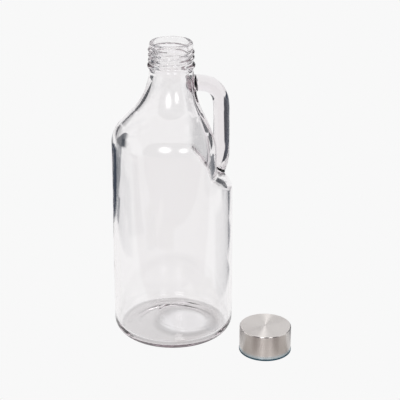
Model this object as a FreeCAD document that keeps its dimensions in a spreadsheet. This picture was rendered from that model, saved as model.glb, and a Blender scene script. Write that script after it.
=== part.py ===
import FreeCAD, Part
import math
import os
import Sketcher

# Clear glass bottle with a loop handle and a brushed steel screw cap.
#
# Frame, in millimetres: the bottle stands on z = 0 with its axis on Z and its
# base centre at the origin.  The handle is in the XZ plane on the +X side.
# The unscrewed cap lies beside the bottle on the same surface.

V = FreeCAD.Vector
doc = FreeCAD.newDocument("HandleBottle")

# ------------------------------------------------------------------ dimensions
sheet = doc.addObject("Spreadsheet::Sheet", "Dimensions")
DIMENSIONS = [
    # bottle body, outside
    ("foot_radius_full", 46.6, "body radius just above the heel"),
    ("shoulder_radius_full", 45.9, "body radius below the shoulder"),
    ("heel_radius", 9.5, "rounding between wall and base"),
    ("taper_from", 60.0, "height where the slight body taper starts"),
    ("taper_to", 150.0, "height where the slight body taper ends"),
    ("shoulder_start", 156.5, "height where the shoulder starts"),
    ("shoulder_round", 21.0, "convex shoulder radius"),
    ("neck_sweep", 50.3, "concave radius from shoulder to neck"),
    ("neck_radius", 16.6, "outer radius of the neck"),
    ("neck_top", 216.0, "height where the neck is straight"),
    # recess behind the handle
    ("panel_depth", 26.8, "distance of the recess panel from the axis"),
    ("panel_top_depth", 15.9, "distance of the sloping panel at panel_top"),
    ("panel_top", 196.0, "height of the top of the sloping panel"),
    ("panel_slope", 0.41, "outward lean of the upper panel"),
    ("ledge_height", 136.5, "height where the panel meets the ledge"),
    ("ledge_slope", 0.69, "fall of the ledge towards the outside"),
    ("panel_blend", 9.7, "softness of the upright recess edges"),
    ("lip_blend", 4.4, "softness of the ledge's outer lip"),
    ("corner_blend", 5.0, "softness of the inner corner of the ledge"),
    ("bend_blend", 4.6, "softness of the bend in the panel"),
    ("neck_blend", 3.0, "softness where the panel runs into the neck"),
    ("blend_end", 206.0, "height where the upright edges have run out"),
    ("blend_run", 36.0, "height over which the upright edges run out"),
    # glass thickness and inside
    ("wall_body", 3.0, "wall thickness of the body"),
    ("wall_neck", 3.4, "wall thickness of the neck"),
    ("bore_radius", 13.1, "radius of the mouth's bore"),
    ("floor_low", 4.4, "lowest height of the inner floor"),
    ("floor_crown", 8.6, "height of the inner floor's crown"),
    ("floor_corner", 6.5, "inner corner radius"),
    # base
    ("rest_inner_radius", 33.0, "inner radius of the flat resting ring"),
    ("punt_height", 4.6, "height of the hollow under the base"),
    ("rest_edge", 1.6, "rounding of the ring's inner edge"),
    # finish
    ("bottle_height", 234.8, "height of the rim"),
    ("root_radius", 16.2, "radius of the finish between the threads"),
    ("bead_height", 216.9, "height of the neck bead's centre"),
    ("bead_round", 2.15, "half height of the neck bead"),
    ("bead_centre", 15.85, "distance of the bead round's centre"),
    ("lip_round", 1.4, "outer rounding of the rim"),
    ("lip_inner_round", 1.1, "inner rounding of the rim"),
    ("thread_crest", 17.4, "radius of the thread's crest"),
    ("thread_rise", 1.25, "radial half size of the thread"),
    ("thread_half", 1.2, "axial half size of the thread"),
    ("thread_pitch", 4.0, "rise of the thread for one turn"),
    ("thread_turns", 2.4, "number of turns"),
    ("thread_low", 220.3, "height of the thread's lower end"),
    ("thread_from", 100.0, "angle of the thread's lower end"),
    ("thread_fade", 40.0, "angle over which an end fades out"),
    # handle
    ("handle_reach", 39.2, "distance of the upright grip from the axis"),
    ("handle_arm", 201.6, "height where the upper arm starts to bend"),
    ("handle_droop", 4.0, "fall of the upper arm, in degrees"),
    ("handle_bend", 22.5, "outward reach of the upper bend"),
    ("handle_foot_start", 149.0, "height where the foot starts to lean inwards"),
    ("handle_foot_lean", 33.0, "final lean of the foot, in degrees"),
    ("handle_foot_run", 26.0, "length over which the foot comes to its lean"),
    ("handle_foot_end", 122.5, "height of the buried foot end"),
    ("handle_root", 9.0, "distance of the buried upper end"),
    ("grip_half_depth", 6.1, "radial half size of the grip"),
    ("grip_half_width", 8.0, "half width of the grip"),
    ("grip_squareness", 2.05, "exponent of the grip's rounded section"),
    ("arm_fillet", 3.0, "fillet between the upper arm and the neck"),
    ("foot_fillet", 3.0, "fillet between the foot and the ledge"),
    # cap
    ("cap_radius", 19.85, "outer radius of the steel shell"),
    ("cap_height", 20.6, "height of the cap"),
    ("cap_edge", 1.0, "rounding of the cap's top edge"),
    ("steel_gauge", 0.45, "sheet thickness of the shell"),
    ("liner_flange_radius", 20.15, "radius of the liner's bottom flange"),
    ("liner_flange", 1.3, "height of the liner's bottom flange"),
    ("liner_bore", 18.25, "inner radius of the liner's skirt"),
    ("liner_top", 1.5, "thickness of the liner's top disc"),
    ("seal_outer", 16.9, "outer radius of the seal rib"),
    ("seal_inner", 12.4, "inner radius of the seal rib"),
    ("seal_rise", 0.7, "height of the seal rib"),
    ("cap_x", 57.4, "cap centre, X"),
    ("cap_y", -59.1, "cap centre, Y"),
]
for row, (alias, value, note) in enumerate(DIMENSIONS, start=1):
    sheet.set("A%d" % row, alias)
    sheet.set("B%d" % row, str(value))
    sheet.set("C%d" % row, note)
    sheet.setAlias("B%d" % row, alias)
doc.recompute()


def size(alias):
    return float(getattr(sheet, alias))


# ------------------------------------------------------- free-form wall surface
def soft_min(a, b, k):
    """Smaller of two numbers with a rounded change-over of width k."""
    overlap = max(k - abs(a - b), 0.0)
    return min(a, b) - overlap * overlap / (4.0 * k)


def soft_max(a, b, k):
    return -soft_min(-a, -b, k)


R_LOW, R_HIGH = size("foot_radius_full"), size("shoulder_radius_full")
Z_SH, Z_NK = size("shoulder_start"), size("neck_top")
RHO_S, RHO_N, R_NK = size("shoulder_round"), size("neck_sweep"), size("neck_radius")


def tangent_angle():
    """Angle of the straight part between the shoulder's two tangent arcs."""
    low, high = 0.2, 1.3
    for _ in range(60):
        mid = 0.5 * (low + high)
        run = (Z_NK - Z_SH - (RHO_S + RHO_N) * math.sin(mid)) / math.cos(mid)
        drop = (RHO_S + RHO_N) * (1 - math.cos(mid)) + run * math.sin(mid)
        if drop < R_HIGH - R_NK:
            low = mid
        else:
            high = mid
    return low


SLANT = tangent_angle()
Z_A = Z_SH + RHO_S * math.sin(SLANT)
Z_B = Z_NK - RHO_N * math.sin(SLANT)
R_A = R_HIGH - RHO_S + RHO_S * math.cos(SLANT)


def turned_radius(z):
    """Radius of the bottle's turned form at height z, without the recess."""
    if z <= size("taper_from"):
        return R_LOW
    if z <= size("taper_to"):
        part = (z - size("taper_from")) / (size("taper_to") - size("taper_from"))
        return R_LOW + (R_HIGH - R_LOW) * part
    if z <= Z_SH:
        return R_HIGH
    if z <= Z_A:
        return R_HIGH - RHO_S + math.sqrt(RHO_S ** 2 - (z - Z_SH) ** 2)
    if z <= Z_B:
        return R_A - (z - Z_A) * math.tan(SLANT)
    if z < Z_NK:
        return R_NK + RHO_N - math.sqrt(RHO_N ** 2 - (Z_NK - z) ** 2)
    return R_NK


PANEL, LEDGE = size("panel_depth"), size("ledge_height")
P_TOP, P_TOP_Z, P_LEAN = size("panel_top_depth"), size("panel_top"), size("panel_slope")
FALL = size("ledge_slope")
K_PANEL, K_LIP = size("panel_blend"), size("lip_blend")
K_CORNER, K_BEND, K_NECK = size("corner_blend"), size("bend_blend"), size("neck_blend")
RUN_OUT, RUN = size("blend_end"), size("blend_run")


def outside(r, angle, z, turned, lean):
    """Signed distance of a point to the recessed outer wall, minus inside."""
    u = r * math.cos(angle)
    to_turned = (r - turned) * lean
    back = soft_min(PANEL, P_TOP + P_LEAN * (P_TOP_Z - z), K_BEND)
    panel = u - soft_max(back, R_NK, K_NECK)
    ledge = (z - LEDGE + FALL * (u - PANEL)) / math.sqrt(1 + FALL ** 2)
    share = 1.0 / (1.0 + math.exp(max(-30.0, min(30.0, (panel - ledge) / 2.0))))
    blend = (K_PANEL * share + K_LIP * (1.0 - share)) * max(0.12, min(1.0, (RUN_OUT - z) / RUN))
    return soft_max(to_turned, soft_min(panel, ledge, K_CORNER), blend)


def wall_radius(angle, z, inset):
    """Radius at which the wall, moved inwards by inset, is met."""
    turned = turned_radius(z)
    rise = (turned_radius(z + 0.2) - turned_radius(z - 0.2)) / 0.4
    lean = 1.0 / math.sqrt(1 + rise * rise)
    if abs(angle) > math.radians(100) or z < 105:
        return turned - inset / lean
    low, high = 8.0, 48.0
    for _ in range(30):
        mid = 0.5 * (low + high)
        if outside(mid, angle, z, turned, lean) < -inset:
            low = mid
        else:
            high = mid
    return 0.5 * (low + high)


def closed_row(points):
    """Poles of the periodic cubic spline through evenly spaced points."""
    n = len(points)
    poles = [V(p) for p in points]
    for _ in range(60):
        worst = 0.0
        for i in range(n):
            new = (points[i] * 6.0 - poles[i - 1] - poles[(i + 1) % n]) * 0.25
            worst = max(worst, (new - poles[i]).Length)
            poles[i] = new
        if worst < 1e-10:
            break
    return poles


def basis(knots, i, degree, t):
    """Cox-de Boor basis function."""
    if degree == 0:
        return 1.0 if knots[i] <= t < knots[i + 1] else 0.0
    total = 0.0
    left = knots[i + degree] - knots[i]
    right = knots[i + degree + 1] - knots[i + 1]
    if left > 0:
        total += (t - knots[i]) / left * basis(knots, i, degree - 1, t)
    if right > 0:
        total += (knots[i + degree + 1] - t) / right * basis(knots, i + 1, degree - 1, t)
    return total


def open_columns(rows, params):
    """Poles across the rows, so that the spline passes through every row."""
    n, m = len(rows), len(rows[0])
    knots = [params[0]] * 4 + params[1:-1] + [params[-1]] * 4
    lower, diag, upper = [], [], []
    for j in range(1, n - 1):
        t = params[j]
        lower.append(basis(knots, j, 3, t))
        diag.append(basis(knots, j + 1, 3, t))
        upper.append(basis(knots, j + 2, 3, t))
    poles = [[None] * m for _ in range(n + 2)]
    for c in range(m):
        column = [rows[j][c] for j in range(n)]
        first = column[0] + (column[1] - column[0]) / 3.0
        last = column[-1] - (column[-1] - column[-2]) / 3.0
        work = [V(column[j]) for j in range(1, n - 1)]
        work[0] = work[0] - first * lower[0]
        work[-1] = work[-1] - last * upper[-1]
        d = diag[:]
        for j in range(1, n - 2):
            ratio = lower[j] / d[j - 1]
            d[j] -= ratio * upper[j - 1]
            work[j] = work[j] - work[j - 1] * ratio
        solved = [None] * (n - 2)
        solved[-1] = work[-1] * (1.0 / d[-1])
        for j in range(n - 4, -1, -1):
            solved[j] = (work[j] - solved[j + 1] * upper[j]) * (1.0 / d[j])
        for k, pole in enumerate([column[0], first] + solved + [last, column[-1]]):
            poles[k][c] = pole
    return poles


def skin_solid(rows, params):
    """Closed solid through rings of points, flat at both ends."""
    poles = open_columns([closed_row(r) for r in rows], params)
    across = len(rows[0])
    surface = Part.BSplineSurface()
    surface.buildFromPolesMultsKnots(
        [list(column) for column in zip(*poles)],
        [1] * (across + 1), [4] + [1] * (len(params) - 2) + [4],
        [float(i) for i in range(across + 1)], [float(t) for t in params],
        True, False, 3, 3)
    side = surface.toShape()
    ends = []
    for edge in side.Edges:
        box = edge.BoundBox
        if edge.isClosed() and len(edge.Vertexes) == 1:
            ends.append(Part.Face(Part.Wire([edge])))
    shell = Part.makeShell([side] + ends)
    shell.sewShape()
    solid = Part.makeSolid(shell)
    if solid.Volume < 0:
        solid.reverse()
    return solid


def chord_params(profile):
    """Parameters that grow with the distance along a profile."""
    out = [0.0]
    for (r0, z0), (r1, z1) in zip(profile, profile[1:]):
        out.append(out[-1] + math.hypot(r1 - r0, z1 - z0))
    return out


SECTORS = 96
ANGLES = [math.pi + 2 * math.pi * i / SECTORS for i in range(SECTORS)]


def ring(angle_radius, z):
    """One ring of points at height z."""
    found = {}
    points = []
    for angle in ANGLES:
        a = (angle + math.pi) % (2 * math.pi) - math.pi
        key = round(abs(a), 9)
        if key not in found:
            found[key] = angle_radius(abs(a), z)
        r = found[key]
        points.append(V(r * math.cos(a), r * math.sin(a), z))
    return points


def steps(start, stop, step):
    count = max(1, int(round((stop - start) / step)))
    return [start + (stop - start) * i / count for i in range(count + 1)]


HEEL = size("heel_radius")
outer_profile = [(R_LOW - HEEL + HEEL * math.sin(a), HEEL - HEEL * math.cos(a))
                 for a in [math.radians(d) for d in (0, 10, 20, 30, 40, 50, 60, 70, 80, 90)]]
upper_heights = ([10.5, 12.0, 14.0, 17.0, 21.0, 27.0, 35.0, 45.0, 55.0, 65.0, 75.0, 85.0, 93.0, 99.0, 102.0]
                 + steps(104.0, 214.5, 1.8) + [size("bead_height")])
outer_rows = [ring(lambda a, z, r=r: r, z) for r, z in outer_profile]
outer_rows += [ring(lambda a, z: wall_radius(a, z, 0.0), z) for z in upper_heights]
outer_params = chord_params(outer_profile + [(turned_radius(z), z) for z in upper_heights])

wall_form = doc.addObject("Part::Feature", "wall_form")
wall_form.Shape = skin_solid(outer_rows, outer_params)

# inside of the bottle: crown of the floor, corner, wall, neck and bore
W_BODY, W_NECK, BORE = size("wall_body"), size("wall_neck"), size("bore_radius")
CORNER, FLOOR, CROWN = size("floor_corner"), size("floor_low"), size("floor_crown")
inner_full = R_LOW - W_BODY
floor_profile = []
crown_edge = inner_full - CORNER
for r in (1.5, 6.0, 12.0, 18.0, 24.0, 29.0, 33.0, 35.6):
    lift = 0.5 * (1 + math.cos(math.pi * min(r / crown_edge, 1.0)))
    floor_profile.append((r, FLOOR + (CROWN - FLOOR) * lift))
for d in (8, 18, 30, 42, 54, 66, 78, 90):
    a = math.radians(d)
    floor_profile.append((crown_edge + CORNER * math.sin(a), FLOOR + CORNER * (1 - math.cos(a))))


def wall_at(z):
    part = max(0.0, min(1.0, (z - 150.0) / 50.0))
    part = part * part * (3 - 2 * part)
    return W_BODY + (W_NECK - W_BODY) * part


inner_heights = ([12.0, 13.5, 16.0, 19.0, 23.0, 28.0, 35.0, 45.0, 55.0, 65.0, 75.0, 85.0, 93.0, 99.0, 102.0]
                 + steps(104.0, 211.0, 1.8))
bore_heights = [214.0, 217.0, 220.0, 224.0, 228.0, 232.0, size("bottle_height") + 1.2]
inner_rows = [ring(lambda a, z, r=r: r, z) for r, z in floor_profile]
inner_rows += [ring(lambda a, z: wall_radius(a, z, wall_at(z)), z) for z in inner_heights]
inner_rows += [ring(lambda a, z: BORE, z) for z in bore_heights]
inner_params = chord_params(floor_profile
                            + [(turned_radius(z) - wall_at(z), z) for z in inner_heights]
                            + [(BORE, z) for z in bore_heights])

cavity_form = doc.addObject("Part::Feature", "cavity_form")
cavity_form.Shape = skin_solid(inner_rows, inner_params)


# --------------------------------------------------------------------- handle
def turn_share(p):
    """Smooth step from 0 to 1, which gives the bends a soft start and end."""
    p = max(0.0, min(1.0, p))
    return p - 0.7 * math.sin(2 * math.pi * p) / (2 * math.pi)


def handle_line(step=2.5):
    """Centre line of the handle in the XZ plane, as (x, z, dx, dz) stations.

    The line runs out from the neck, bends down into the upright grip, and its
    foot leans back towards the bottle."""
    reach, arm, bend = size("handle_reach"), size("handle_arm"), size("handle_bend")
    start, lean = size("handle_foot_start"), math.radians(size("handle_foot_lean"))
    foot, end = size("handle_foot_run"), size("handle_foot_end")
    droop = math.radians(size("handle_droop"))
    fine = 0.02
    quarter = math.pi / 2 - droop
    mean_x = sum(math.cos(droop + quarter * turn_share((i + 0.5) / 400)) for i in range(400)) / 400
    mean_z = sum(math.sin(droop + quarter * turn_share((i + 0.5) / 400)) for i in range(400)) / 400
    bend_run = bend / mean_x
    x = size("handle_root")
    straight = (reach - bend - x) / math.cos(droop)
    z = arm + straight * math.sin(droop)
    upright = (arm - mean_z * bend_run) - start
    points, s, due = [], 0.0, 0.0
    while z > end:
        if s < straight:
            angle = droop
        elif s < straight + bend_run:
            angle = droop + quarter * turn_share((s - straight) / bend_run)
        else:
            angle = math.pi / 2 + lean * turn_share((s - straight - bend_run - upright) / foot)
        if s >= due - 1e-9:
            points.append((x, z, math.cos(angle), -math.sin(angle)))
            due += step
        x += fine * math.cos(angle)
        z -= fine * math.sin(angle)
        s += fine
    return points


def section_ring(x, z, dx, dz, half_depth, half_width, power, count=36):
    """Rounded section square to the line, half_depth across it in the plane."""
    nx, nz = -dz, dx
    points = []
    for i in range(count):
        a = 2 * math.pi * i / count
        c, s = math.cos(a), math.sin(a)
        q = (abs(c / half_depth) ** power + abs(s / half_width) ** power) ** (-1.0 / power)
        points.append(V(x + nx * q * c, q * s, z + nz * q * c))
    return points


line = handle_line()
travel = [2.5 * i for i in range(len(line))]
handle_rows = [section_ring(x, z, dx, dz, size("grip_half_depth"), size("grip_half_width"),
                            size("grip_squareness")) for x, z, dx, dz in line]
handle_form = doc.addObject("Part::Feature", "handle_form")
handle_form.Shape = skin_solid(handle_rows, travel)


# --------------------------------------------------------------------- thread
def thread_rows(crest, rise, half, pitch, turns, low, first_deg, fade_deg, outward=1.0):
    """Rounded thread along a helix; both ends sink into the wall."""
    total = turns * 360.0
    centre = crest - outward * rise
    rows, params = [], []
    count = int(round(total / 10.0))
    for i in range(count + 1):
        turned = total * i / count
        edge = min(turned, total - turned)
        part = max(0.0, min(1.0, edge / fade_deg))
        part = part * part * (3 - 2 * part)
        r = centre - outward * (rise + 0.2) * (1 - part)
        a = math.radians(first_deg + turned)
        z = low + pitch * turned / 360.0
        row = []
        for k in range(14):
            b = 2 * math.pi * k / 14
            q = r + rise * math.cos(b)
            row.append(V(q * math.cos(a), q * math.sin(a), z + half * math.sin(b)))
        rows.append(row)
        params.append(math.radians(turned) * centre)
    return rows, params


rows, params = thread_rows(size("thread_crest"), size("thread_rise"), size("thread_half"),
                           size("thread_pitch"), size("thread_turns"), size("thread_low"),
                           size("thread_from"), size("thread_fade"))
thread_form = doc.addObject("Part::Feature", "thread_form")
thread_form.Shape = skin_solid(rows, params)


# ------------------------------------------------------- turned sub-parts
def plane_of(body, role):
    for feature in body.Origin.OriginFeatures:
        if feature.Role == role:
            return feature
    raise RuntimeError(role)


def point_constraint(sketch, geo, pos, axis, value, expression, name):
    """Ties one coordinate of a sketch point to an expression."""
    kind = "DistanceX" if axis == "x" else "DistanceY"
    index = sketch.addConstraint(Sketcher.Constraint(kind, -1, 1, geo, pos, value))
    sketch.renameConstraint(index, name)
    sketch.setExpression("Constraints." + name, expression)


def turned_body(name, corners, angle=360.0):
    """PartDesign body turned about Z from a closed outline.

    corners: list of (x expression, z expression, x value, z value, bulge).
    A bulge is None for a straight edge to the next corner, or (x, z) values
    with expressions of the point that the arc to the next corner passes."""
    body = doc.addObject("PartDesign::Body", name)
    sketch = body.newObject("Sketcher::SketchObject", name + "_outline")
    sketch.AttachmentSupport = [(plane_of(body, "XZ_Plane"), "")]
    sketch.MapMode = "FlatFace"
    n = len(corners)
    ends = []
    for i, (_, _, x, z, bulge) in enumerate(corners):
        x2, z2 = corners[(i + 1) % n][2:4]
        a, b = V(x, z, 0), V(x2, z2, 0)
        if bulge is None:
            sketch.addGeometry(Part.LineSegment(a, b), False)
            ends.append((1, 2))
        else:
            arc = Part.Arc(a, V(bulge[0], bulge[1], 0), b)
            sketch.addGeometry(arc, False)
            same = (sketch.getPoint(i, 1) - a).Length < 1e-6
            ends.append((1, 2) if same else (2, 1))
    for i in range(n):
        j = (i + 1) % n
        sketch.addConstraint(Sketcher.Constraint("Coincident", i, ends[i][1], j, ends[j][0]))
    for i, (ex, ez, x, z, bulge) in enumerate(corners):
        if ex == "0":
            sketch.addConstraint(Sketcher.Constraint("PointOnObject", i, ends[i][0], -2))
        else:
            point_constraint(sketch, i, ends[i][0], "x", x, ex, "px%d" % i)
        point_constraint(sketch, i, ends[i][0], "z", z, ez, "pz%d" % i)
        if bulge is not None:
            index = sketch.addConstraint(Sketcher.Constraint("Radius", i, sketch.Geometry[i].Radius))
            sketch.renameConstraint(index, "rad%d" % i)
            sketch.setExpression("Constraints.rad%d" % i, bulge[2])
    doc.recompute()
    turn = body.newObject("PartDesign::Revolution", name + "_turn")
    turn.Profile = sketch
    turn.ReferenceAxis = (sketch, ["V_Axis"])
    turn.Angle = angle
    doc.recompute()
    body.Tip = turn
    return body


D = "Dimensions."
H, ROOT = size("bottle_height"), size("root_radius")
BZ, BR, BC = size("bead_height"), size("bead_round"), size("bead_centre")
LR = size("lip_round")
bead_meet = math.sqrt(BR ** 2 - (ROOT - BC) ** 2)
finish_body = turned_body("finish_form", [
    ("0", D + "bead_height - 3.6", 0, BZ - 3.6, None),
    (D + "bead_centre", D + "bead_height - 3.6", BC, BZ - 3.6, None),
    (D + "bead_centre", D + "bead_height - " + D + "bead_round", BC, BZ - BR,
     (BC + BR, BZ, D + "bead_round")),
    (D + "root_radius",
     D + "bead_height + sqrt(" + D + "bead_round ^ 2 - (" + D + "root_radius - " + D + "bead_centre) ^ 2)",
     ROOT, BZ + bead_meet, None),
    (D + "root_radius", D + "bottle_height - " + D + "lip_round", ROOT, H - LR,
     (ROOT - LR * (1 - math.cos(math.pi / 4)), H - LR * (1 - math.sin(math.pi / 4)),
      D + "lip_round")),
    (D + "root_radius - " + D + "lip_round", D + "bottle_height", ROOT - LR, H, None),
    ("0", D + "bottle_height", 0, H, None),
])

RI, PH = size("rest_inner_radius"), size("punt_height")
punt_sphere = (RI ** 2 + PH ** 2) / (2 * PH)
punt_mid = (RI * 0.5, PH - (punt_sphere - math.sqrt(punt_sphere ** 2 - (RI * 0.5) ** 2)))
punt_body = turned_body("punt_form", [
    ("0", "-2", 0, -2, None),
    (D + "rest_inner_radius", "-2", RI, -2, None),
    (D + "rest_inner_radius", "0", RI, 0.0,
     (punt_mid[0], punt_mid[1],
      "(" + D + "rest_inner_radius ^ 2 + " + D + "punt_height ^ 2) / (2 * " + D + "punt_height)")),
    ("0", D + "punt_height", 0, PH, None),
])

# ------------------------------------------------------------------ the bottle
glass_raw = doc.addObject("Part::MultiFuse", "glass_raw")
glass_raw.Shapes = [wall_form, finish_body, thread_form, handle_form]
glass_raw.Refine = False
doc.recompute()


def joint_edges(shape, low, high):
    """Numbers of the edges between low and high where the handle meets the wall."""
    found = []
    for number, edge in enumerate(shape.Edges, start=1):
        box = edge.BoundBox
        if box.XMin > 10 and box.ZMin > low and box.ZMax < high and 12 < box.YLength < 20:
            found.append(number)
    return found


glass_joined = doc.addObject("Part::Fillet", "glass_joined")
glass_joined.Base = glass_raw
glass_joined.Edges = ([(n, size("arm_fillet"), size("arm_fillet")) for n in joint_edges(glass_raw.Shape, 190, 212)]
                      + [(n, size("foot_fillet"), size("foot_fillet")) for n in joint_edges(glass_raw.Shape, 120, 140)])
doc.recompute()

glass_hollow = doc.addObject("Part::Cut", "glass_hollow")
glass_hollow.Base = glass_joined
glass_hollow.Tool = cavity_form
glass_hollow.Refine = False
glass_based = doc.addObject("Part::Cut", "glass_based")
glass_based.Base = glass_hollow
glass_based.Tool = punt_body
glass_based.Refine = False
doc.recompute()


def edges_at(shape, radius, height):
    """Numbers of the round edges about Z with this radius and height."""
    found = []
    for number, edge in enumerate(shape.Edges, start=1):
        box = edge.BoundBox
        if abs(box.ZMin - height) < 0.02 and abs(box.ZMax - height) < 0.02:
            point = edge.valueAt(0.5 * (edge.FirstParameter + edge.LastParameter))
            if abs(math.hypot(point.x, point.y) - radius) < 0.05:
                found.append(number)
    return found


bottle = doc.addObject("Part::Fillet", "glass_bottle")
bottle.Base = glass_based
bottle.Edges = ([(n, size("lip_inner_round"), size("lip_inner_round"))
                 for n in edges_at(glass_based.Shape, BORE, H)]
                + [(n, size("rest_edge"), size("rest_edge"))
                   for n in edges_at(glass_based.Shape, RI, 0.0)])
bottle.Label = "glass_bottle"
doc.recompute()

# --------------------------------------------------------------------- the cap
CR, CH, CE, G = size("cap_radius"), size("cap_height"), size("cap_edge"), size("steel_gauge")
LF = size("liner_flange")
c45 = math.cos(math.pi / 4)
shell_body = turned_body("cap_shell", [
    ("0", D + "cap_height - " + D + "steel_gauge", 0, CH - G, None),
    (D + "cap_radius - " + D + "cap_edge", D + "cap_height - " + D + "steel_gauge", CR - CE, CH - G,
     (CR - CE + (CE - G) * c45, CH - CE + (CE - G) * c45, D + "cap_edge - " + D + "steel_gauge")),
    (D + "cap_radius - " + D + "steel_gauge", D + "cap_height - " + D + "cap_edge", CR - G, CH - CE, None),
    (D + "cap_radius - " + D + "steel_gauge", D + "liner_flange", CR - G, LF, None),
    (D + "cap_radius", D + "liner_flange", CR, LF, None),
    (D + "cap_radius", D + "cap_height - " + D + "cap_edge", CR, CH - CE,
     (CR - CE + CE * c45, CH - CE + CE * c45, D + "cap_edge")),
    (D + "cap_radius - " + D + "cap_edge", D + "cap_height", CR - CE, CH, None),
    ("0", D + "cap_height", 0, CH, None),
])
shell_body.Label = "cap_shell"

FR, LB, LT = size("liner_flange_radius"), size("liner_bore"), size("liner_top")
SO, SI, SR = size("seal_outer"), size("seal_inner"), size("seal_rise")
top_in = CH - G
liner_turned = turned_body("liner_turned", [
    ("0", D + "cap_height - " + D + "steel_gauge - " + D + "liner_top", 0, top_in - LT, None),
    (D + "seal_inner", D + "cap_height - " + D + "steel_gauge - " + D + "liner_top", SI, top_in - LT, None),
    (D + "seal_inner", D + "cap_height - " + D + "steel_gauge - " + D + "liner_top - " + D + "seal_rise",
     SI, top_in - LT - SR, None),
    (D + "seal_outer", D + "cap_height - " + D + "steel_gauge - " + D + "liner_top - " + D + "seal_rise",
     SO, top_in - LT - SR, None),
    (D + "seal_outer", D + "cap_height - " + D + "steel_gauge - " + D + "liner_top", SO, top_in - LT, None),
    (D + "liner_bore", D + "cap_height - " + D + "steel_gauge - " + D + "liner_top", LB, top_in - LT, None),
    (D + "liner_bore", "0", LB, 0.0, None),
    (D + "liner_flange_radius - 0.3", "0", FR - 0.3, 0.0, None),
    (D + "liner_flange_radius", "0.3", FR, 0.3, None),
    (D + "liner_flange_radius", D + "liner_flange", FR, LF, None),
    (D + "cap_radius - " + D + "steel_gauge", D + "liner_flange", CR - G, LF, None),
    (D + "cap_radius - " + D + "steel_gauge", D + "cap_height - " + D + "cap_edge", CR - G, CH - CE,
     (CR - CE + (CE - G) * c45, CH - CE + (CE - G) * c45, D + "cap_edge - " + D + "steel_gauge")),
    (D + "cap_radius - " + D + "cap_edge", D + "cap_height - " + D + "steel_gauge", CR - CE, CH - G, None),
    ("0", D + "cap_height - " + D + "steel_gauge", 0, CH - G, None),
])

for piece in (shell_body, liner_turned):
    piece.setExpression("Placement.Base.x", D + "cap_x")
    piece.setExpression("Placement.Base.y", D + "cap_y")
liner_turned.Label = "cap_liner"
doc.recompute()

# --------------------------------------------------------------------- writing
for item in doc.Objects:
    bad = [word for word in item.State if word in ("Invalid", "Error")]
    if bad:
        raise RuntimeError("%s is %s" % (item.Name, bad))

pieces = [bottle, shell_body, liner_turned]
for piece in pieces:
    shape = piece.Shape
    if shape.isNull() or not shape.isValid():
        raise RuntimeError(piece.Label + " is not a valid shape")
    if len(shape.Solids) != 1:
        raise RuntimeError("%s has %d solids" % (piece.Label, len(shape.Solids)))

os.makedirs("parts", exist_ok=True)
for piece in pieces:
    piece.Shape.exportStep("parts/%s.step" % piece.Label)
    print("%s volume %.0f mm3, box %s" % (piece.Label, piece.Shape.Volume, piece.Shape.BoundBox))
brim = cavity_form.Shape.common(Part.makeBox(120, 120, H, V(-60, -60, 0)))
print("brimful volume %.0f ml" % (brim.Volume / 1000.0))
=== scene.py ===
import math

import bpy
import numpy as np
from mathutils import Matrix, Vector


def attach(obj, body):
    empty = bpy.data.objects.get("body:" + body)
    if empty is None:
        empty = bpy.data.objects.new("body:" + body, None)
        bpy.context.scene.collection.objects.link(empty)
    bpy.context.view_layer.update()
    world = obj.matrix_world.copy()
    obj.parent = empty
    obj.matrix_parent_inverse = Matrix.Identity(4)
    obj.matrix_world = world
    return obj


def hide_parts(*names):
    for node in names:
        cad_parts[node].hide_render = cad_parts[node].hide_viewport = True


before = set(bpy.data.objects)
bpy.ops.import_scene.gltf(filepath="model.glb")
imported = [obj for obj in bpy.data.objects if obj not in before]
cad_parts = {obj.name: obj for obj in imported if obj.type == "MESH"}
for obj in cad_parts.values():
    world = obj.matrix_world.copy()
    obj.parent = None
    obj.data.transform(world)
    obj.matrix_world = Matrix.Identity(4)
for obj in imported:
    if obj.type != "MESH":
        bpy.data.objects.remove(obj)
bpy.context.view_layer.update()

# The row frame has the handle on +X. The shot is taken from in front and a
# little to the left, so that the handle turns away from the camera.
TURN = math.radians(16.3)
PITCH = math.radians(22.56)
COLLECTION = bpy.context.scene.collection


def shot(x, y, z):
    """A point given as right, away and up as the camera sees it, in the row frame."""
    c, s = math.cos(TURN), math.sin(TURN)
    return Vector((c * x + s * y, -s * x + c * y, z))


# ------------------------------------------------------------------ camera
def add_camera():
    data = bpy.data.cameras.new("camera")
    data.lens = 119.13
    data.sensor_width = 36.0
    data.clip_start, data.clip_end = 0.05, 50.0
    camera = bpy.data.objects.new("camera", data)
    COLLECTION.objects.link(camera)
    look = shot(0.0, math.cos(PITCH), -math.sin(PITCH))
    right = shot(1.0, 0.0, 0.0)
    up = right.cross(look)
    axes = Matrix((right, up, -look)).transposed().to_4x4()
    camera.matrix_world = Matrix.Translation(shot(0.021287, -0.94632, 0.50129)) @ axes
    bpy.context.scene.camera = camera
    return camera


camera = add_camera()


# --------------------------------------------------------------- node tools
def material(name):
    m = bpy.data.materials.new(name)
    m.use_nodes = True
    m.node_tree.nodes.clear()
    out = m.node_tree.nodes.new("ShaderNodeOutputMaterial")
    return m, m.node_tree, out


def node(tree, kind, **values):
    n = tree.nodes.new(kind)
    for key, value in values.items():
        if hasattr(n, key):
            setattr(n, key, value)
        else:
            n.inputs[key.replace("_", " ")].default_value = value
    return n


def link(tree, a, b):
    tree.links.new(a, b)


# ------------------------------------------------------------ bottle's form
# Lengths below are in millimetres; the mesh is scaled to metres at the end.
def soft_min(a, b, k):
    overlap = np.maximum(k - np.abs(a - b), 0.0)
    return np.minimum(a, b) - overlap * overlap / (4.0 * k)


def soft_max(a, b, k):
    return -soft_min(-a, -b, k)


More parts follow.
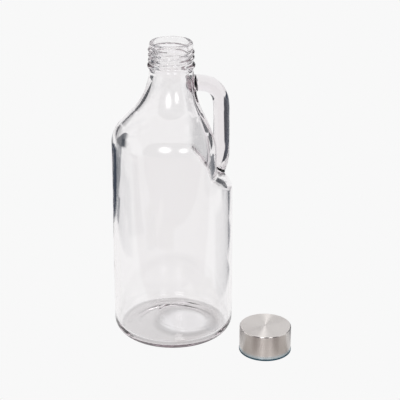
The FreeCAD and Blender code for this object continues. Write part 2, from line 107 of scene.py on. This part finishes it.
def round_max(a, b, r):
    """Both forms' overlap, with an outer edge rounded to radius r."""
    inside = np.minimum(np.maximum(a, b), -r)
    return inside + np.sqrt(np.maximum(a + r, 0.0) ** 2 + np.maximum(b + r, 0.0) ** 2)


def round_min(a, b, r):
    """Both forms joined, with an inner edge filled to radius r."""
    return -round_max(-a, -b, r)


def ramp(p):
    p = np.clip(p, 0.0, 1.0)
    return p * p * (3 - 2 * p)


R_LOW, R_HIGH, HEEL = 46.6, 45.9, 9.5
Z_SH, RHO_S, RHO_N, R_NK, Z_NK = 156.5, 21.0, 50.3, 16.6, 216.0
H, ROOT, LIP, LIP_IN, BORE = 234.8, 16.2, 1.4, 1.1, 13.1


def turned_table():
    low, high = 0.2, 1.3
    for _ in range(60):
        mid = 0.5 * (low + high)
        run = (Z_NK - Z_SH - (RHO_S + RHO_N) * math.sin(mid)) / math.cos(mid)
        if (RHO_S + RHO_N) * (1 - math.cos(mid)) + run * math.sin(mid) < R_HIGH - R_NK:
            low = mid
        else:
            high = mid
    z_a, z_b = Z_SH + RHO_S * math.sin(low), Z_NK - RHO_N * math.sin(low)
    r_a = R_HIGH - RHO_S + RHO_S * math.cos(low)
    z = np.arange(-5.0, 245.0, 0.05)
    r = R_LOW + (R_HIGH - R_LOW) * np.clip((z - 60.0) / 90.0, 0, 1)
    bulge = R_HIGH - RHO_S + np.sqrt(np.maximum(RHO_S ** 2 - (z - Z_SH) ** 2, 0))
    r = np.where(z > Z_SH, bulge, r)
    r = np.where(z > z_a, r_a - (z - z_a) * math.tan(low), r)
    sweep = R_NK + RHO_N - np.sqrt(np.maximum(RHO_N ** 2 - (Z_NK - z) ** 2, 0))
    r = np.where(z > z_b, sweep, r)
    r = np.where(z > Z_NK, R_NK + (ROOT - R_NK) * ramp((z - Z_NK) / 1.2), r)
    return z, r, 1.0 / np.sqrt(1 + np.gradient(r, z) ** 2)


T_Z, T_R, T_LEAN = turned_table()


def outer_wall(x, r, z):
    """The recessed outer wall, minus inside."""
    to_turned = (r - np.interp(z, T_Z, T_R)) * np.interp(z, T_Z, T_LEAN)
    back = soft_min(26.8, 15.9 + 0.41 * (196.0 - z), 4.6)
    panel = x - soft_max(back, R_NK, 3.0)
    ledge = (z - 136.5 + 0.69 * (x - 26.8)) / math.sqrt(1 + 0.69 ** 2)
    share = 1.0 / (1.0 + np.exp(np.clip((panel - ledge) / 2.0, -30, 30)))
    blend = (9.7 * share + 4.4 * (1 - share)) * np.clip((206.0 - z) / 36.0, 0.12, 1.0)
    return soft_max(to_turned, soft_min(panel, ledge, 5.0), blend)


def handle_path():
    """Stations along the handle's centre line: x, z and the angle of its run."""
    def share(p):
        p = min(max(p, 0.0), 1.0)
        return p - 0.7 * math.sin(2 * math.pi * p) / (2 * math.pi)

    reach, arm, bend, droop = 39.2, 201.6, 22.5, math.radians(4.0)
    start, lean, foot, end, x = 149.0, math.radians(33.0), 26.0, 122.5, 9.0
    quarter = math.pi / 2 - droop
    angles = [droop + quarter * share((i + 0.5) / 400) for i in range(400)]
    mean_x, mean_z = (sum(f(a) for a in angles) / 400 for f in (math.cos, math.sin))
    bend_run = bend / mean_x
    straight = (reach - bend - x) / math.cos(droop)
    upright = arm - mean_z * bend_run - start
    z = arm + straight * math.sin(droop)
    rows, s = [], 0.0
    while z > end - 3:
        if s < straight:
            angle = droop
        elif s < straight + bend_run:
            angle = droop + quarter * share((s - straight) / bend_run)
        else:
            angle = math.pi / 2 + lean * share((s - straight - bend_run - upright) / foot)
        rows.append((s, x, z, angle))
        x, z, s = x + 0.1 * math.cos(angle), z - 0.1 * math.sin(angle), s + 0.1
    return np.array(rows)


PATH = handle_path()


def handle(x, y, z):
    """The handle's rounded bar, minus inside."""
    far = np.full(x.shape, 30.0)
    near = (x > -4) & (x < 60) & (np.abs(y) < 16) & (z > 108) & (z < 222)
    px, py, pz = x[near], y[near], z[near]
    coarse = PATH[::10]
    best = np.empty(len(px), int)
    for i in range(0, len(px), 20000):
        d = (px[i:i + 20000, None] - coarse[:, 1]) ** 2 + (pz[i:i + 20000, None] - coarse[:, 2]) ** 2
        best[i:i + 20000] = d.argmin(1)
    s = coarse[best, 0]
    for _ in range(3):
        cx, cz, a = (np.interp(s, PATH[:, 0], PATH[:, k]) for k in (1, 2, 3))
        s = np.clip(s + (px - cx) * np.cos(a) - (pz - cz) * np.sin(a), 0, PATH[-1, 0])
    cx, cz, a = (np.interp(s, PATH[:, 0], PATH[:, k]) for k in (1, 2, 3))
    n = (px - cx) * np.sin(a) + (pz - cz) * np.cos(a)
    t = np.abs((px - cx) * np.cos(a) - (pz - cz) * np.sin(a))
    p, hd, hw = 2.05, 6.1, 8.0
    u, v = np.abs(n / hd) + 1e-6, np.abs(py / hw) + 1e-6
    f = u ** p + v ** p
    slope = f ** (1 / p - 1) * np.hypot(u ** (p - 1) / hd, v ** (p - 1) / hw)
    d = (f ** (1 / p) - 1) / slope
    far[near] = np.where(t > 0.3, np.hypot(np.maximum(d, 0), t), d)
    return far


def thread(r, angle, z):
    """The finish's screw thread, minus inside; both ends sink into the wall."""
    best = np.full(r.shape, 30.0)
    total = 2.4 * 360
    first = (np.degrees(angle) - 100.0) % 360.0
    for k in range(-1, 4):
        turned = first + 360.0 * k
        held = np.clip(turned, 0, total)
        part = ramp(np.minimum(held, total - held) / 40.0)
        centre = 17.4 - 1.25 - 1.45 * (1 - part)
        along = np.radians(turned - held) * 16.2
        u = np.hypot((r - centre) / 1.25, (z - 220.3 - 4.0 * held / 360.0) / 1.2)
        best = np.minimum(best, np.hypot((u - 1) * 1.22, along) * np.where((u < 1) & (along == 0), -1, 1))
    return best


def bottle(p):
    """The glass, minus inside, at points p in millimetres."""
    x, y, z = p[:, 0], p[:, 1], p[:, 2]
    r = np.hypot(x, y)
    angle = np.arctan2(y, x)
    wall = outer_wall(x, r, z)
    bead = np.hypot(r - 15.85, z - 216.9) - 2.15
    f = round_min(wall, bead, 1.2)
    f = round_min(f, thread(r, angle, z), 0.95)
    f = round_min(f, handle(x, y, z), 3.0)
    f = round_max(f, -z, HEEL)
    f = round_max(f, z - H, LIP)
    # the inside: wall, neck and the crowned floor
    thick = 3.0 + 0.4 * ramp((z - 150.0) / 50.0)
    bore = ramp((z - 207.0) / 7.0)
    # blown glass is a little uneven inside
    thick = thick + (0.030 * np.sin(0.11 * z + 2 * np.cos(angle) + 1.1) + 0.025 * np.sin(2 * angle + 0.06 * z)
                     + 0.015 * np.sin(0.21 * z - 3 * angle + 0.6)) * ramp((z - 12) / 25.0)
    hollow = (wall + thick) * (1 - bore) + (r - BORE) * bore
    rim = np.minimum(r, 37.1)
    # the mould's base plate leaves a low ring, a little off the middle
    scar = 0.35 * np.exp(-((np.hypot(x - 12.2, y - 2.7) - 25.0) / 1.3) ** 2) * ramp((38.5 - r) / 2.5)
    ground = (4.4 + 4.2 * 0.5 * (1 + np.cos(math.pi * rim / 37.1)) + scar - z) / 1.04
    hollow = round_max(hollow, ground, 6.5)
    f = round_max(f, -hollow, LIP_IN)
    punt = np.sqrt(r * r + (z + 116.07) ** 2) - 120.67
    return round_max(f, -punt, 1.6)


def slopes(p, step=0.05):
    g = np.empty_like(p)
    for k in range(3):
        q = np.zeros(3)
        q[k] = step
        g[:, k] = (bottle(p + q) - bottle(p - q)) / (2 * step)
    return g


CUT = 213.6                                     # the finish above this is meshed by turns


def settle(points, pairs, rounds, fixed=None, evening=3):
    """Moves points onto the surface, and evens them out along it."""
    for turn in range(rounds):
        g = slopes(points)
        size = np.maximum((g * g).sum(1), 0.05)
        move = g * (bottle(points) / size)[:, None]
        length = np.linalg.norm(move, axis=1)
        step = -move * np.minimum(1.0, 0.6 / np.maximum(length, 1e-9))[:, None]
        if turn < evening:
            mean = np.zeros_like(points)
            weight = np.zeros(len(points))
            for a, b in pairs:
                np.add.at(mean, a, points[b])
                np.add.at(mean, b, points[a])
                np.add.at(weight, a, 1)
                np.add.at(weight, b, 1)
            pull = mean / weight[:, None] - points
            unit = g / np.linalg.norm(g, axis=1)[:, None]
            step = step + 0.5 * (pull - unit * (pull * unit).sum(1)[:, None])
        if fixed is not None:
            step[fixed] = 0
        points = points + step
    return points


def netted(pitch):
    """The bottle below CUT: one point in each grid cell that the surface crosses."""
    zs = np.concatenate([np.arange(-1.3, 14.0, 0.95), np.arange(14.0, 207.5, pitch),
                         np.linspace(208.2, CUT, 5)])
    n = int(math.ceil(49.0 / pitch))
    line = np.arange(-n, n + 1) * pitch + 0.137
    grid = np.empty((len(line), len(line), len(zs), 3))
    grid[..., 0] = line[:, None, None]
    grid[..., 1] = line[None, :, None]
    grid[..., 2] = zs
    flat = grid.reshape(-1, 3)
    f = np.concatenate([bottle(flat[i:i + 200000]) for i in range(0, len(flat), 200000)])
    f = f.reshape(grid.shape[:3])
    inside = f < 0
    cells = tuple(s - 1 for s in inside.shape)
    total = np.zeros(cells + (3,))
    count = np.zeros(cells)

    def part(a, i, j, k):
        return a[i:i + cells[0], j:j + cells[1], k:k + cells[2]]

    for axis in range(3):
        others = [a for a in range(3) if a != axis]
        for u in (0, 1):
            for v in (0, 1):
                lo = [0, 0, 0]
                lo[others[0]], lo[others[1]] = u, v
                hi = list(lo)
                hi[axis] = 1
                fa, fb = part(f, *lo), part(f, *hi)
                cross = part(inside, *lo) != part(inside, *hi)
                t = np.where(cross, fa / np.where(cross, fa - fb, 1.0), 0.0)[..., None]
                total += np.where(cross[..., None], part(grid, *lo) * (1 - t) + part(grid, *hi) * t, 0.0)
                count += cross
    used = count > 0
    index = np.full(cells, -1)
    index[used] = np.arange(used.sum())
    points = total[used] / count[used][:, None]
    quads = []
    for axis in range(3):
        others = [(axis + 1) % 3, (axis + 2) % 3]
        lo = [slice(None)] * 3
        hi = [slice(None)] * 3
        lo[axis], hi[axis] = slice(0, -1), slice(1, None)
        for o in others:
            lo[o] = hi[o] = slice(1, -1)
        a, b = inside[tuple(lo)], inside[tuple(hi)]
        where = np.argwhere(a != b)
        starts = a[a != b]
        for o in others:
            where[:, o] += 1
        ring = []
        for du, dv in ((0, 0), (1, 0), (1, 1), (0, 1)):
            cell = where.copy()
            cell[:, others[0]] -= 1 - du
            cell[:, others[1]] -= 1 - dv
            ring.append(index[tuple(cell.T)])
        ring = np.array(ring).T
        ring[~starts] = ring[~starts][:, ::-1]
        quads.append(ring)
    quads = np.concatenate(quads)
    pairs = [(quads[:, i], quads[:, (i + 1) % 4]) for i in range(4)]
    return settle(points, pairs, 5), quads


def open_loops(quads):
    """Loops of points along the mesh's open edges."""
    a = quads.ravel()
    b = np.roll(quads, -1, axis=1).ravel()
    big = int(quads.max()) + 1
    loose = ~np.isin(a * big + b, b * big + a)
    after = dict(zip(a[loose].tolist(), b[loose].tolist()))
    loops = []
    while after:
        start, nxt = after.popitem()
        loop = [start]
        while nxt != start:
            loop.append(nxt)
            nxt = after.pop(nxt)
        loops.append(np.array(loop))
    return loops


def finish_rings(sectors=208):
    """The finish in rings: up the outside, over the rim and down the bore."""
    angle = np.arange(sectors) * 2 * math.pi / sectors
    heights = np.arange(CUT + 0.5, H - LIP, 0.29)
    a, z = (m.ravel() for m in np.meshgrid(angle, heights, indexing="xy"))

    def at(r):
        return bottle(np.stack([r * np.cos(a), r * np.sin(a), z], 1))

    high = np.full(len(a), 18.6)
    low = np.full(len(a), 15.0)
    for r in np.arange(18.6, 15.0, -0.15):
        hit = (at(np.full(len(a), r)) < 0) & (low < 15.01)
        low[hit], high[hit] = r, r + 0.15
    for _ in range(12):
        mid = 0.5 * (low + high)
        solid = at(mid) < 0
        low, high = np.where(solid, mid, low), np.where(solid, high, mid)
    r = 0.5 * (low + high)
    rings = [np.stack([r * np.cos(a), r * np.sin(a), z], 1).reshape(len(heights), sectors, 3)]
    profile = [(ROOT - LIP + LIP * math.cos(t), H - LIP + LIP * math.sin(t))
               for t in np.radians(np.arange(0, 91, 12.857))]
    profile += [(BORE + LIP_IN + LIP_IN * math.cos(t), H - LIP_IN + LIP_IN * math.sin(t))
                for t in np.radians(np.arange(90, 181, 15))]
    profile += [(BORE, z) for z in np.linspace(H - LIP_IN - 0.6, CUT + 0.5, 24)]
    for r, z in profile:
        rings.append(np.stack([r * np.cos(angle), r * np.sin(angle), np.full(sectors, z)], 1)[None])
    points = np.concatenate(rings).reshape(-1, 3)
    count = len(points) // sectors
    grid = np.arange(len(points)).reshape(count, sectors)
    side = np.roll(grid, -1, axis=1)
    quads = np.stack([grid[:-1], side[:-1], side[1:], grid[1:]], -1).reshape(-1, 4)
    pairs = [(grid.ravel(), side.ravel()), (grid[:-1].ravel(), grid[1:].ravel())]
    fixed = np.zeros(len(points), bool)
    fixed[grid[0]] = fixed[grid[-1]] = True
    points = settle(points, pairs, 4, fixed, evening=2)
    return points, quads, grid[0], grid[-1]


def zip_loops(points, first, second):
    """Triangles between two loops round the axis."""
    def ordered(loop):
        turn = np.arctan2(points[loop, 1], points[loop, 0])
        return loop[np.argsort(turn)], np.sort(turn)

    (a, ta), (b, tb) = ordered(first), ordered(second)
    ta, tb = np.append(ta, ta[0] + 2 * math.pi), np.append(tb, tb[0] + 2 * math.pi)
    i = j = 0
    faces = []
    while i < len(a) or j < len(b):
        if j >= len(b) or (i < len(a) and ta[i + 1] <= tb[j + 1]):
            faces.append((a[i], a[(i + 1) % len(a)], b[j % len(b)]))
            i += 1
        else:
            faces.append((a[i % len(a)], b[(j + 1) % len(b)], b[j]))
            j += 1
    return np.array(faces)


def bottle_mesh(pitch=1.52):
    """Closed mesh of the glass: points, four-sided faces, triangles, normals."""
    points, quads = netted(pitch)
    loops = sorted(open_loops(quads), key=lambda l: -np.hypot(*points[l, :2].T).mean())
    upper, rings, low_ring, bore_ring = finish_rings()
    start = len(points)
    points = np.concatenate([points, upper])
    quads = np.concatenate([quads, rings + start])
    tris = np.concatenate([zip_loops(points, loops[0], low_ring + start),
                           zip_loops(points, loops[1], bore_ring + start)])
    g = slopes(points)
    normals = g / np.linalg.norm(g, axis=1)[:, None]

    def facing(faces):
        corner = points[faces]
        flat = np.cross(corner[:, 1] - corner[:, 0], corner[:, -1] - corner[:, 0])
        wrong = (flat * normals[faces].mean(1)).sum(1) < 0
        faces[wrong] = faces[wrong][:, ::-1]
        return faces

    quads[-len(rings):] = facing(quads[-len(rings):])
    return points, quads, facing(tris), normals


def add_bottle():
    points, quads, tris, normals = bottle_mesh()
    me = bpy.data.meshes.new("bottle_glass")
    me.vertices.add(len(points))
    me.vertices.foreach_set("co", (points * 0.001).astype(np.float32).ravel())
    sides = np.concatenate([np.full(len(quads), 4), np.full(len(tris), 3)]).astype(np.int32)
    me.loops.add(int(sides.sum()))
    me.loops.foreach_set("vertex_index", np.concatenate([quads.ravel(), tris.ravel()]).astype(np.int32))
    me.polygons.add(len(sides))
    me.polygons.foreach_set("loop_start", (np.cumsum(sides) - sides).astype(np.int32))
    me.polygons.foreach_set("loop_total", sides)
    me.update(calc_edges=True)
    me.validate()
    me.shade_smooth()
    me.normals_split_custom_set_from_vertices(normals.tolist())
    o = bpy.data.objects.new("bottle_glass", me)
    COLLECTION.objects.link(o)
    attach(o, "root")
    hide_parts("glass_bottle")
    return o


bottle_piece = add_bottle()


# ---------------------------------------------------------- studio: stage
def glow(name, strength, colour, soft=None, tall=1.0, edge=None):
    """Plain light. soft fades it out over these distances from the card's middle,
    tall times as far upwards; edge = (half width, half height, fade) fades its rim."""
    m, t, out = material(name)
    e = node(t, "ShaderNodeEmission")
    e.inputs["Color"].default_value = (*colour, 1)
    e.inputs["Strength"].default_value = strength
    link(t, e.outputs[0], out.inputs["Surface"])
    if soft is None and edge is None:
        return m
    where = node(t, "ShaderNodeTexCoord")
    if soft:
        scaled = node(t, "ShaderNodeVectorMath", operation="MULTIPLY")
        scaled.inputs[1].default_value = (1, 1 / tall, 1)
        link(t, where.outputs["Object"], scaled.inputs[0])
        far = node(t, "ShaderNodeVectorMath", operation="LENGTH")
        link(t, scaled.outputs[0], far.inputs[0])
        fade = node(t, "ShaderNodeMapRange", interpolation_type="SMOOTHSTEP")
        fade.inputs["From Min"].default_value, fade.inputs["From Max"].default_value = soft
        fade.inputs["To Min"].default_value, fade.inputs["To Max"].default_value = 1.0, 0.0
        link(t, far.outputs["Value"], fade.inputs["Value"])
        power = node(t, "ShaderNodeMath", operation="MULTIPLY")
        power.inputs[1].default_value = strength
        link(t, fade.outputs[0], power.inputs[0])
        link(t, power.outputs[0], e.inputs["Strength"])
    else:
        parts = node(t, "ShaderNodeSeparateXYZ")
        link(t, where.outputs["Object"], parts.inputs[0])
        fades = []
        for i in (0, 1):
            size = node(t, "ShaderNodeMath", operation="ABSOLUTE")
            link(t, parts.outputs[i], size.inputs[0])
            step = node(t, "ShaderNodeMapRange", interpolation_type="SMOOTHSTEP")
            step.inputs["From Min"].default_value = edge[i] - edge[2]
            step.inputs["From Max"].default_value = edge[i]
            step.inputs["To Min"].default_value, step.inputs["To Max"].default_value = 1.0, 0.0
            link(t, size.outputs[0], step.inputs["Value"])
            fades.append(step)
        fade = node(t, "ShaderNodeMath", operation="MULTIPLY")
        link(t, fades[0].outputs[0], fade.inputs[0])
        link(t, fades[1].outputs[0], fade.inputs[1])
    clear = node(t, "ShaderNodeBsdfTransparent")
    mix = node(t, "ShaderNodeMixShader")
    link(t, fade.outputs[0], mix.inputs[0])
    link(t, clear.outputs[0], mix.inputs[1])
    link(t, e.outputs[0], mix.inputs[2])
    link(t, mix.outputs[0], out.inputs["Surface"])
    return m


def card(name, centre, width, height, toward, mat, follow=True):
    """A flat card at centre, facing the point toward; all as the camera sees it."""
    me = bpy.data.meshes.new(name)
    w, h = width / 2, height / 2
    me.from_pydata([(-w, -h, 0), (w, -h, 0), (w, h, 0), (-w, h, 0)], [], [(0, 1, 2, 3)])
    me.materials.append(mat)
    o = bpy.data.objects.new(name, me)
    COLLECTION.objects.link(o)
    facing = (shot(*toward) - shot(*centre)).normalized()
    o.matrix_world = Matrix.Translation(shot(*centre)) @ facing.to_track_quat("Z", "Y").to_matrix().to_4x4()
    o.visible_camera = False
    o.visible_shadow = False
    if follow:                                  # the rig keeps its place beside the camera
        world_matrix = o.matrix_world.copy()
        o.parent = camera
        o.matrix_parent_inverse = camera.matrix_world.inverted()
        o.matrix_world = world_matrix
    return o


floor_mesh = bpy.data.meshes.new("floor")
floor_mesh.from_pydata([(-6, -6, 0), (6, -6, 0), (6, 6, 0), (-6, 6, 0)], [], [(0, 1, 2, 3)])
floor_mesh.materials.append(glow("pale_floor", 1.0, (0.939, 0.939, 0.939)))
floor = bpy.data.objects.new("floor", floor_mesh)
COLLECTION.objects.link(floor)
floor.location = (0, 0, -0.0004)

world = bpy.data.worlds.new("studio")
bpy.context.scene.world = world
world.use_nodes = True
world.node_tree.nodes["Background"].inputs["Color"].default_value = (0.96, 0.96, 0.97, 1)
world.node_tree.nodes["Background"].inputs["Strength"].default_value = 1.0

# The rig: a dark room behind the camera with two round softboxes, a strip light
# above, and dark cards that draw the glass's edges. The low cards lie flat.
ROOM = (0.10, 0.10, 0.11)
CAP = (shot(1, 0, 0).dot(Vector((0.0574, -0.0591, 0))), shot(0, 1, 0).dot(Vector((0.0574, -0.0591, 0))))


def flat(name, x, y, z, colour, fade=0.0, follow=True):
    """A soft-edged card lying z above the floor, across x and along y."""
    cx, cy = sum(x) / 2, sum(y) / 2
    w, h = x[1] - x[0], y[1] - y[0]
    o = card(name, (cx, cy, z), w, h, (cx, cy, 1.0),
             glow(name, 1.0, colour, edge=(w / 2, h / 2, fade) if fade else None), follow)
    basis = Matrix((shot(1, 0, 0), shot(0, 1, 0), Vector((0, 0, 1)))).transposed().to_4x4()
    o.matrix_world = Matrix.Translation(shot(cx, cy, z)) @ basis
    return o


card("room_front", (0, -1.7, 1.6), 5.0, 3.2, (0, 0, 1.6), glow("room_dark", 1.0, ROOM))
card("softbox_left", (-0.30, -1.30, 0.92), 1.10, 1.24, (0, 0, 0.15),
     glow("softbox_left", 7.0, (1, 1, 1), (0.05, 0.54), 1.12))
card("softbox_right", (0.56, -1.25, 0.80), 0.80, 0.88, (0, 0, 0.15),
     glow("softbox_right", 6.5, (1, 1, 1), (0.04, 0.39), 1.10))
card("strip_top", (CAP[0], 0.60, 1.05), 0.12, 0.30, (CAP[0], CAP[1], 0.02), glow("strip_top", 4.5, (1, 1, 1)))
SIDE = glow("side_dark", 1.0, (0.07, 0.075, 0.085))
card("side_left", (-1.15, 0.80, 0.27), 1.60, 0.60, (0, 0, 0.27), SIDE)
card("side_right", (1.15, 0.80, 0.27), 1.60, 0.60, (0, 0, 0.27), SIDE)
DUSK = (0.050, 0.062, 0.085)
flat("low_left", (-0.38, -0.122), (0.245, 0.45), 0.0012, DUSK, 0.006)
flat("low_left_near", (-0.36, -0.105), (0.185, 0.26), 0.0014, DUSK, 0.006)
flat("low_left_edge", (-0.40, -0.19), (-0.06, 0.185), 0.0012, (0.40, 0.41, 0.43), 0.02)
flat("low_handle", (-0.27, -0.092), (0.385, 0.53), 0.0016, (0.06, 0.07, 0.085), 0.020)
flat("low_right", (0.165, 0.42), (0.16, 0.335), 0.0012, (0.16, 0.17, 0.19), 0.02)
flat("low_right_edge", (0.130, 0.42), (0.08, 0.18), 0.0010, (0.30, 0.31, 0.33), 0.012)
flat("low_right_near", (0.100, 0.30), (-0.03, 0.09), 0.0008, (0.30, 0.31, 0.33), 0.012)
flat("low_front", (-1.0, 1.0), (-1.5, -0.10), 0.0004, (0.42, 0.355, 0.37))
flat("cap_mat", (CAP[0] - 0.075, CAP[0] + 0.075), (CAP[1] - 0.075, CAP[1]), 0.0008,
     (0.47, 0.43, 0.40), 0.01)
flat("cap_front", (CAP[0] - 0.02, CAP[0] + 0.02), (CAP[1] - 0.11, CAP[1] - 0.012), 0.0010,
     (0.85, 0.80, 0.77), 0.01)
# the floor is in the bottle's own shade where the foot stands
for name, x, y, wide, z, colour, soft in (
        ("foot_shade", 0.0, 0.0, 0.10, -0.0002, (0.66, 0.65, 0.65), (0.038, 0.047)),
        ("foot_light", 0.010, 0.002, 0.06, -0.0001, (0.85, 0.85, 0.86), (0.014, 0.029))):
    o = flat(name, (x - wide / 2, x + wide / 2), (y - wide / 2, y + wide / 2), z, colour, 0.0, False)
    o.data.materials[0] = glow(name + "_soft", 1.0, colour, soft)

scene = bpy.context.scene
scene.view_settings.view_transform = "Standard"
scene.view_settings.look = "None"
scene.view_settings.exposure = 0.0
scene.view_settings.gamma = 1.0
scene.cycles.max_bounces = 32
scene.cycles.glossy_bounces = 32
scene.cycles.transmission_bounces = 32


# -------------------------------------------------------------- materials
def glass_material():
    m, t, out = material("clear_glass")
    p = node(t, "ShaderNodeBsdfPrincipled")
    p.inputs["Base Color"].default_value = (1, 1, 1, 1)
    p.inputs["Roughness"].default_value = 0.0
    p.inputs["IOR"].default_value = 1.5
    p.inputs["Transmission Weight"].default_value = 1.0
    # the slow waves that a mould leaves in the skin of the glass
    where = node(t, "ShaderNodeTexCoord")
    wide = node(t, "ShaderNodeTexNoise", Scale=42.0, Detail=1.0, Roughness=0.4)
    fine = node(t, "ShaderNodeTexNoise", Scale=170.0, Detail=2.0, Roughness=0.5)
    link(t, where.outputs["Object"], wide.inputs["Vector"])
    link(t, where.outputs["Object"], fine.inputs["Vector"])
    both = node(t, "ShaderNodeMath", operation="MULTIPLY_ADD")
    link(t, fine.outputs[0], both.inputs[0])
    both.inputs[1].default_value = 0.10
    link(t, wide.outputs[0], both.inputs[2])
    bump = node(t, "ShaderNodeBump", Strength=1.0, Distance=0.00005)
    link(t, both.outputs[0], bump.inputs["Height"])
    link(t, bump.outputs[0], p.inputs["Normal"])
    link(t, p.outputs[0], out.inputs["Surface"])
    v = node(t, "ShaderNodeVolumeAbsorption")
    v.inputs["Color"].default_value = (0.925, 0.903, 0.912, 1)
    v.inputs["Density"].default_value = 100.0
    link(t, v.outputs[0], out.inputs["Volume"])
    return m


def mixed(t, factor, a, b):
    """Colour a to b by factor; a and b are colours or sockets."""
    n = node(t, "ShaderNodeMix", data_type="RGBA")
    link(t, factor, n.inputs["Factor"])
    for socket, value in ((n.inputs[6], a), (n.inputs[7], b)):
        if isinstance(value, tuple):
            socket.default_value = (*value, 1)
        else:
            link(t, value, socket)
    return n.outputs[2]


def ranged(t, value, low, high, to_low=0.0, to_high=1.0):
    n = node(t, "ShaderNodeMapRange", interpolation_type="SMOOTHSTEP")
    n.inputs["From Min"].default_value, n.inputs["From Max"].default_value = low, high
    n.inputs["To Min"].default_value, n.inputs["To Max"].default_value = to_low, to_high
    link(t, value, n.inputs["Value"])
    return n.outputs[0]


def steel_material():
    """Spun rings on top, brushed round the side, and a painted reflection of the blue liner: the base colour
    turns blue-grey toward the bottom of the cap.
    """
    m, t, out = material("brushed_steel")
    p = node(t, "ShaderNodeBsdfPrincipled")
    where = node(t, "ShaderNodeTexCoord")
    centred = node(t, "ShaderNodeVectorMath", operation="SUBTRACT")
    centred.inputs[1].default_value = (0.5, 0.5, 0.0)
    link(t, where.outputs["Generated"], centred.inputs[0])
    sized = node(t, "ShaderNodeVectorMath", operation="MULTIPLY")
    sized.inputs[1].default_value = (39.7, 39.7, 19.3)
    link(t, centred.outputs[0], sized.inputs[0])
    parts = node(t, "ShaderNodeSeparateXYZ")
    link(t, sized.outputs[0], parts.inputs[0])
    across = node(t, "ShaderNodeVectorMath", operation="MULTIPLY")
    across.inputs[1].default_value = (1, 1, 0)
    link(t, sized.outputs[0], across.inputs[0])
    radius = node(t, "ShaderNodeVectorMath", operation="LENGTH")
    link(t, across.outputs[0], radius.inputs[0])
    geometry = node(t, "ShaderNodeNewGeometry")
    facing = node(t, "ShaderNodeSeparateXYZ")
    link(t, geometry.outputs["Normal"], facing.inputs[0])
    top = ranged(t, facing.outputs[2], 0.6, 0.9)
    line = node(t, "ShaderNodeMix", data_type="FLOAT")
    link(t, top, line.inputs["Factor"])
    link(t, parts.outputs[2], line.inputs[2])
    link(t, radius.outputs["Value"], line.inputs[3])
    wander = node(t, "ShaderNodeTexNoise", Scale=0.22, Detail=2.0)
    link(t, sized.outputs[0], wander.inputs["Vector"])
    shifted = node(t, "ShaderNodeMath", operation="MULTIPLY_ADD")
    link(t, wander.outputs[0], shifted.inputs[0])
    shifted.inputs[1].default_value = 0.35
    link(t, line.outputs[0], shifted.inputs[2])
    rings = node(t, "ShaderNodeTexNoise", noise_dimensions="1D", Scale=2.1, Detail=6.0, Roughness=0.75)
    link(t, shifted.outputs[0], rings.inputs["W"])
    tone = ranged(t, rings.outputs[0], 0.30, 0.70)
    plain = mixed(t, tone, (0.655, 0.620, 0.595), (0.725, 0.692, 0.668))
    # painted reflection of the blue liner: the base colour is mixed toward blue-grey over the lower part of
    # the cap
    painted_liner_reflection = ranged(t, parts.outputs[2], 0.6, 3.4, 0.75, 0.0)
    link(t, mixed(t, painted_liner_reflection, plain, (0.56, 0.70, 0.78)), p.inputs["Base Color"])
    p.inputs["Metallic"].default_value = 1.0
    p.inputs["Roughness"].default_value = 0.34
    # the turned-over rim is polished
    up = ranged(t, facing.outputs[2], 0.08, 0.25)
    down = ranged(t, facing.outputs[2], 0.80, 0.93, 1.0, 0.0)
    rim = node(t, "ShaderNodeMath", operation="MULTIPLY")
    link(t, up, rim.inputs[0])
    link(t, down, rim.inputs[1])
    rough = node(t, "ShaderNodeMix", data_type="FLOAT")
    link(t, rim.outputs[0], rough.inputs["Factor"])
    link(t, ranged(t, rings.outputs[0], 0.25, 0.75, 0.30, 0.38), rough.inputs[2])
    rough.inputs[3].default_value = 0.10
    link(t, rough.outputs[0], p.inputs["Roughness"])
    p.inputs["Anisotropic"].default_value = 0.95
    p.inputs["Anisotropic Rotation"].default_value = 0.25
    tan = node(t, "ShaderNodeTangent", direction_type="RADIAL", axis="Z")
    link(t, tan.outputs[0], p.inputs["Tangent"])
    bump = node(t, "ShaderNodeBump", Strength=0.35, Distance=0.00002)
    link(t, rings.outputs[0], bump.inputs["Height"])
    link(t, bump.outputs[0], p.inputs["Normal"])
    link(t, p.outputs[0], out.inputs["Surface"])
    return m


def liner_material():
    """Moulded blue plastic with a faint grain."""
    m, t, out = material("blue_liner")
    p = node(t, "ShaderNodeBsdfPrincipled")
    where = node(t, "ShaderNodeTexCoord")
    grain = node(t, "ShaderNodeTexNoise", Scale=900.0, Detail=4.0, Roughness=0.6)
    link(t, where.outputs["Object"], grain.inputs["Vector"])
    tone = ranged(t, grain.outputs[0], 0.3, 0.7)
    link(t, mixed(t, tone, (0.010, 0.055, 0.085), (0.020, 0.085, 0.125)), p.inputs["Base Color"])
    link(t, ranged(t, grain.outputs[0], 0.3, 0.7, 0.30, 0.42), p.inputs["Roughness"])
    p.inputs["IOR"].default_value = 1.40
    bump = node(t, "ShaderNodeBump", Strength=0.3, Distance=0.00003)
    link(t, grain.outputs[0], bump.inputs["Height"])
    link(t, bump.outputs[0], p.inputs["Normal"])
    link(t, p.outputs[0], out.inputs["Surface"])
    return m


bottle_piece.data.materials.append(glass_material())
for name, mat in (("glass_bottle", bottle_piece.data.materials[0]), ("cap_shell", steel_material()),
                  ("cap_liner", liner_material())):
    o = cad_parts[name]
    o.data.materials.clear()
    o.data.materials.append(mat)
